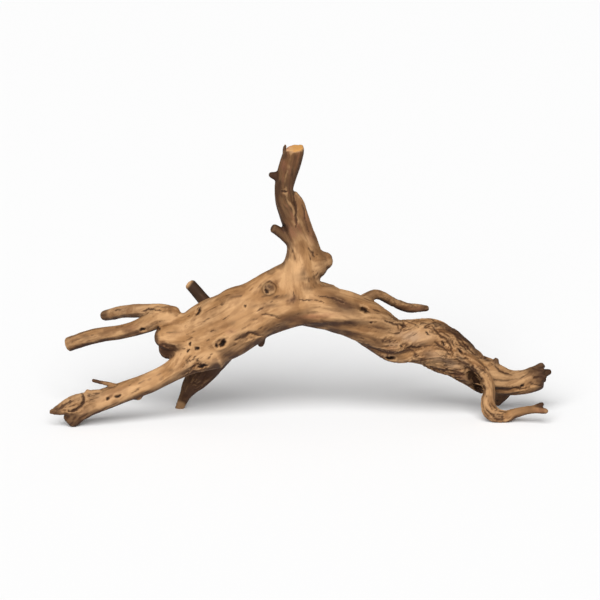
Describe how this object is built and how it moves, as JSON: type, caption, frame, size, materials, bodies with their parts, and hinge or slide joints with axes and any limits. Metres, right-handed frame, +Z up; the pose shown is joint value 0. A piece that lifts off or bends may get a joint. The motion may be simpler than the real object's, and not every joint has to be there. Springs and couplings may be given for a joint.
{
  "type": "piece of driftwood",
  "caption": "Weathered branching root of driftwood with a twisted trunk, one cut upright limb, broken ends and thin twigs, standing on its own feet.",
  "frame": {"origin": "middle of the bounding box, on the surface that the feet stand on", "axes": "+X along the trunk from the forked end to the broken end, +Y away from the front, +Z up"},
  "size_m": [0.4004, 0.0855, 0.2301],
  "materials": {
    "driftwood": "bare weathered wood, dry and matt"
  },
  "bodies": {
    "root": {"driftwood": "driftwood"}
  },
  "joints": []
}
